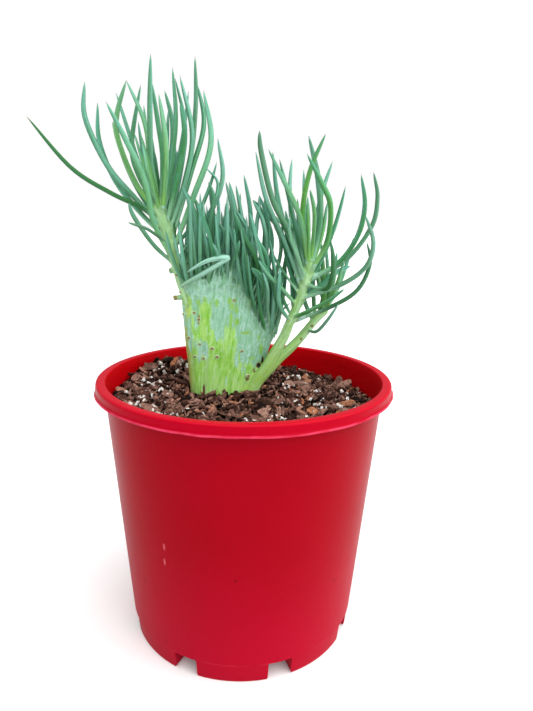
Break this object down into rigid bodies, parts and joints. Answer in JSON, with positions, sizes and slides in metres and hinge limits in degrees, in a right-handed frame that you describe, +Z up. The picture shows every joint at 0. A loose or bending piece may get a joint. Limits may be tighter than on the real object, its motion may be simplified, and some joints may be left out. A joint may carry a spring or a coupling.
{
  "type": "potted chalk sticks",
  "caption": "Succulent with upright pencil-like blue-green leaves on a flat crested trunk and side stems, in a round tapered nursery pot of bark potting mix.",
  "frame": {"origin": "on the ground, under the middle of the whole plant's width and depth; the pot's axis stands 10.8 mm towards +X, because the leaves reach further to -X", "axes": "+Z up along the plant's height, -Y towards the side seen in the picture, +X to that view's right"},
  "size_m": [0.1616, 0.14, 0.2691],
  "materials": {
    "pot": "glossy moulded plastic",
    "potting_mix": "loose bark chips and perlite",
    "crested_trunk": "green stem with a pale waxy bloom under the crest",
    "leader_stem": "waxy blue-green leaves",
    "tall_side_stem": "waxy green leaves",
    "low_side_stem": "waxy green leaves"
  },
  "bodies": {
    "root": {"pot": "pot", "potting_mix": "potting_mix", "crested_trunk": "crested_trunk", "leader_stem": "leader_stem", "tall_side_stem": "tall_side_stem", "low_side_stem": "low_side_stem"}
  },
  "joints": []
}
